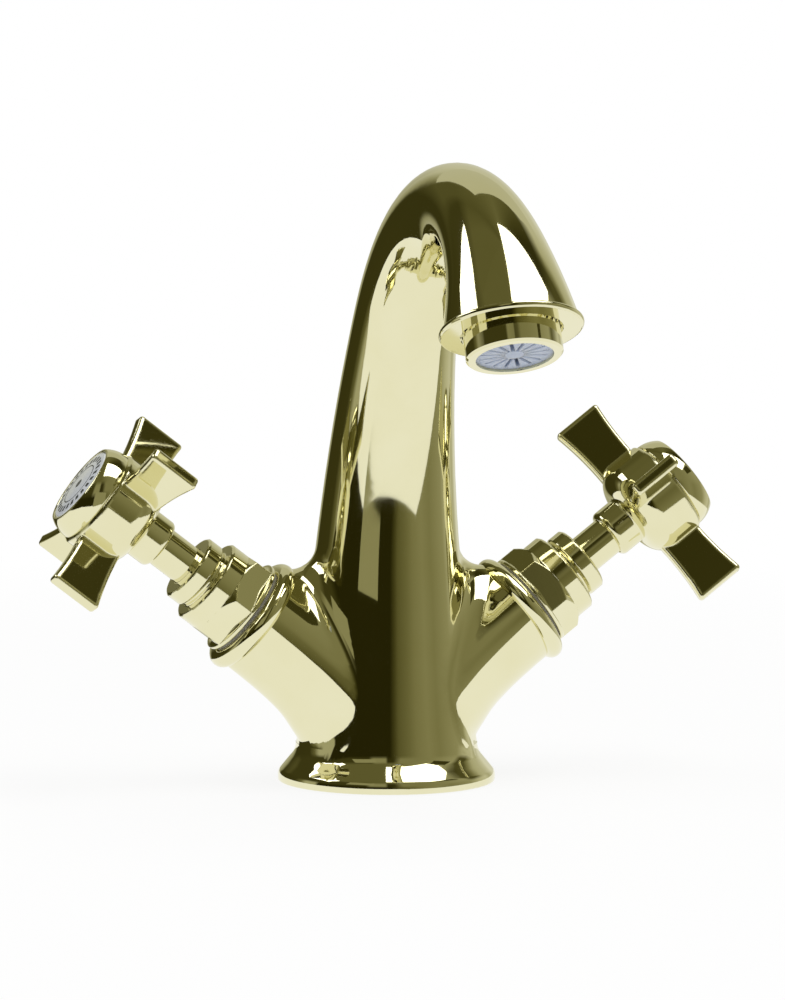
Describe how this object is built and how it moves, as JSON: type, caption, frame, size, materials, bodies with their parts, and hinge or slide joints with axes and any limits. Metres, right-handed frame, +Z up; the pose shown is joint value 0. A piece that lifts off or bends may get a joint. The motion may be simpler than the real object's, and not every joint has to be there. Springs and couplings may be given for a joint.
{
  "type": "basin mixer tap",
  "caption": "Polished gold one-hole basin mixer tap with a fixed swan-neck spout and quarter-turn cross-head handles on raised side arms, with white index discs.",
  "frame": {"origin": "centre of the foot's underside, where the tap stands on the basin", "axes": "+Z up, -Y forward over the basin along the spout, -X the hot valve's side and +X the cold valve's side"},
  "size_m": [0.1781, 0.1451, 0.1544],
  "materials": {
    "gold_casting": "polished pale gold plate on cast brass",
    "gold_trim": "polished pale gold plate on turned brass",
    "gold_handle": "polished pale gold plate on die-cast handle",
    "brass_spindle": "turned and plated",
    "porcelain": "glossy glaze",
    "white_ceramic": "lapped",
    "pale_plastic": "moulded",
    "white_washer": "plain",
    "steel": "plain stainless",
    "black_rubber": "matt"
  },
  "bodies": {
    "tap_body": {"body_casting": "gold_casting", "base_seal": "black_rubber", "aerator_housing": "gold_trim", "aerator_insert": "pale_plastic", "aerator_screen": "steel", "aerator_washer": "black_rubber", "hot_bonnet": "gold_trim", "hot_bonnet_washer": "white_washer", "hot_gland_nut": "gold_trim", "hot_seat_seal": "black_rubber", "hot_fixed_disc": "white_ceramic", "cold_bonnet": "gold_trim", "cold_bonnet_washer": "white_washer", "cold_gland_nut": "gold_trim", "cold_seat_seal": "black_rubber", "cold_fixed_disc": "white_ceramic"},
    "hot_valve": {"hot_moving_disc": "white_ceramic", "hot_spindle": "brass_spindle", "hot_spindle_rings": "black_rubber", "hot_circlip": "steel", "hot_handle": "gold_handle", "hot_handle_screw": "steel", "hot_index_ring": "gold_trim", "hot_index_disc": "porcelain"},
    "cold_valve": {"cold_moving_disc": "white_ceramic", "cold_spindle": "brass_spindle", "cold_spindle_rings": "black_rubber", "cold_circlip": "steel", "cold_handle": "gold_handle", "cold_handle_screw": "steel", "cold_index_ring": "gold_trim", "cold_index_disc": "porcelain"}
  },
  "joints": [
    {"name": "hot_turn", "type": "hinge", "parent": "tap_body", "child": "hot_valve", "pos_m": [0, 0, 0.0154], "axis": [-0.7923, 0, 0.6101], "range_deg": [0, 90]},
    {"name": "cold_turn", "type": "hinge", "parent": "tap_body", "child": "cold_valve", "pos_m": [0, 0, 0.0154], "axis": [-0.7923, 0, -0.6101], "range_deg": [0, 90]}
  ]
}
